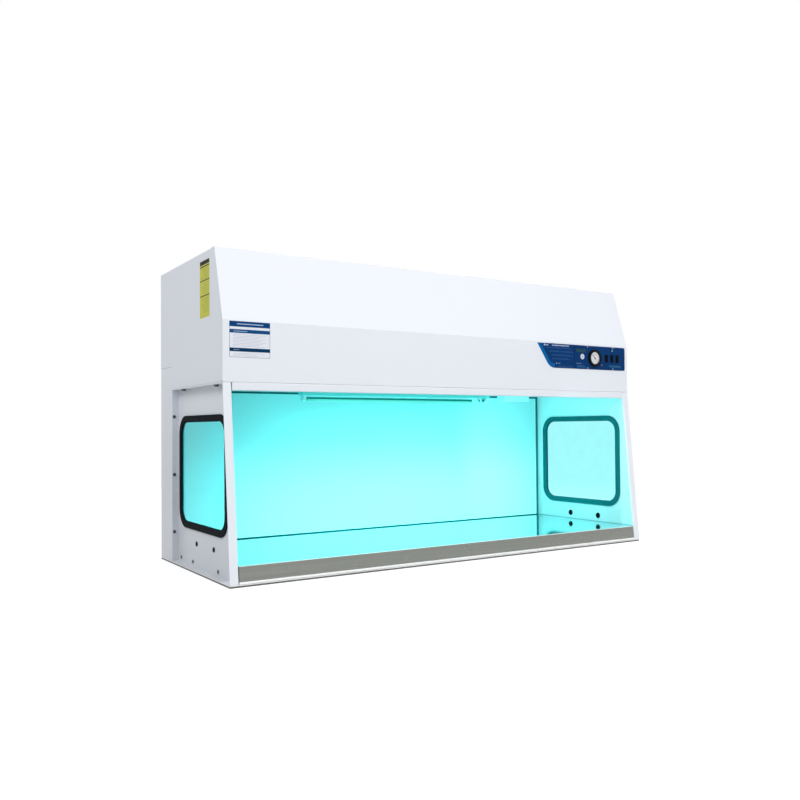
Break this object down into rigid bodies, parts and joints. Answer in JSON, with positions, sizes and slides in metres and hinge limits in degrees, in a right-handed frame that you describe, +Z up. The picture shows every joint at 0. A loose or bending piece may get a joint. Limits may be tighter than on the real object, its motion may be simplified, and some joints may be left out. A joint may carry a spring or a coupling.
{
  "type": "laminar flow hood",
  "caption": "Bench-top horizontal laminar flow hood: open-front chamber with filter back wall, glazed side panels, steel worktop, sloped upper casing with blowers, gauge and switches.",
  "frame": {"origin": "middle of the base, on the surface that the hood stands on", "axes": "+X to the control panel end along the length, +Y to the back, +Z up; the open front faces -Y"},
  "size_m": [1.88, 0.7312, 1.105],
  "materials": {
    "white_coat": "white powder coat, fine satin texture",
    "grey_coat": "grey powder coat",
    "screen_coat": "white coated perforated sheet",
    "stainless": "brushed stainless steel, reflective",
    "galvanised": "zinc-coated sheet",
    "zinc_steel": "plated steel",
    "dark_steel": "blackened steel",
    "shaft_steel": "ground steel",
    "impeller_aluminium": "pressed aluminium",
    "filter_aluminium": "extruded aluminium",
    "motor_grey": "grey enamel",
    "filter_paper": "pleated glass-fibre paper",
    "window_glass": "safety glass",
    "clear_lens": "clear acrylic",
    "uv_tube": "lit lamp tube",
    "lamp_tube": "white lamp tube",
    "black_rubber": "matt black rubber",
    "black_plastic": "black moulded plastic",
    "rocker_black": "black gloss plastic",
    "pointer_black": "black enamel",
    "white_plastic": "white moulded plastic",
    "dial_white": "white dial",
    "indicator_lens": "pale lens",
    "blue_plate": "blue film",
    "label_film": "printed label film"
  },
  "bodies": {
    "cabinet": {"ballasts": "galvanised", "base_pan": "white_coat", "base_plinth": "grey_coat", "ceiling_panel": "white_coat", "column_screws": "dark_steel", "control_plate": "blue_plate", "filter_frame": "filter_aluminium", "filter_gasket": "black_rubber", "filter_media": "filter_paper", "filter_screen": "screen_coat", "front_cover": "white_coat", "gauge_dial": "dial_white", "gauge_housing": "black_plastic", "gauge_lens": "clear_lens", "hole_plugs": "black_rubber", "indicator_lamp": "indicator_lens", "left_inlet_ring": "galvanised", "left_intake_box": "galvanised", "left_intake_grille": "white_coat", "left_motor": "motor_grey", "left_motor_bracket": "galvanised", "left_prefilter": "filter_paper", "left_side_panel": "white_coat", "left_window": "window_glass", "left_window_seal": "black_rubber", "overhang_bolts": "dark_steel", "panel_screws": "zinc_steel", "power_inlet": "black_plastic", "rear_casing": "white_coat", "right_inlet_ring": "galvanised", "right_intake_box": "galvanised", "right_intake_grille": "white_coat", "right_motor": "motor_grey", "right_motor_bracket": "galvanised", "right_prefilter": "filter_paper", "right_side_panel": "white_coat", "right_window": "window_glass", "right_window_seal": "black_rubber", "side_screws": "zinc_steel", "switch_frames": "black_plastic", "test_port": "zinc_steel", "upper_back_panel": "white_coat", "upper_casing": "white_coat", "uv_ballast_cover": "white_plastic", "uv_batten": "white_coat", "uv_lamp": "uv_tube", "uv_lampholders": "white_plastic", "work_lamp": "lamp_tube", "work_lampholders": "white_plastic", "work_light_tray": "white_coat", "worktop": "stainless", "worktop_bearers": "galvanised"},
    "left_rotor": {"left_impeller": "impeller_aluminium", "left_motor_shaft": "shaft_steel"},
    "right_rotor": {"right_impeller": "impeller_aluminium", "right_motor_shaft": "shaft_steel"},
    "blower_switch": {"blower_rocker": "rocker_black"},
    "light_switch": {"light_rocker": "rocker_black"},
    "uv_switch": {"uv_rocker": "rocker_black"},
    "gauge_needle": {"gauge_pointer": "pointer_black"}
  },
  "joints": [
    {"name": "left_impeller_spin", "type": "hinge", "parent": "cabinet", "child": "left_rotor", "pos_m": [-0.46, 0.06, 0.97], "axis": [0, 0, 1], "continuous": true},
    {"name": "right_impeller_spin", "type": "hinge", "parent": "cabinet", "child": "right_rotor", "pos_m": [0.46, 0.06, 0.97], "axis": [0, 0, 1], "continuous": true},
    {"name": "blower_switch_rock", "type": "hinge", "parent": "cabinet", "child": "blower_switch", "pos_m": [0.81, -0.306, 0.798], "axis": [-1, 0, 0], "range_deg": [0, 18]},
    {"name": "light_switch_rock", "type": "hinge", "parent": "cabinet", "child": "light_switch", "pos_m": [0.8435, -0.306, 0.798], "axis": [-1, 0, 0], "range_deg": [0, 18]},
    {"name": "uv_switch_rock", "type": "hinge", "parent": "cabinet", "child": "uv_switch", "pos_m": [0.877, -0.306, 0.798], "axis": [-1, 0, 0], "range_deg": [-18, 0]},
    {"name": "gauge_needle_swing", "type": "hinge", "parent": "cabinet", "child": "gauge_needle", "pos_m": [0.736, -0.311, 0.797], "axis": [0, 1, 0], "range_deg": [0, 90]}
  ]
}
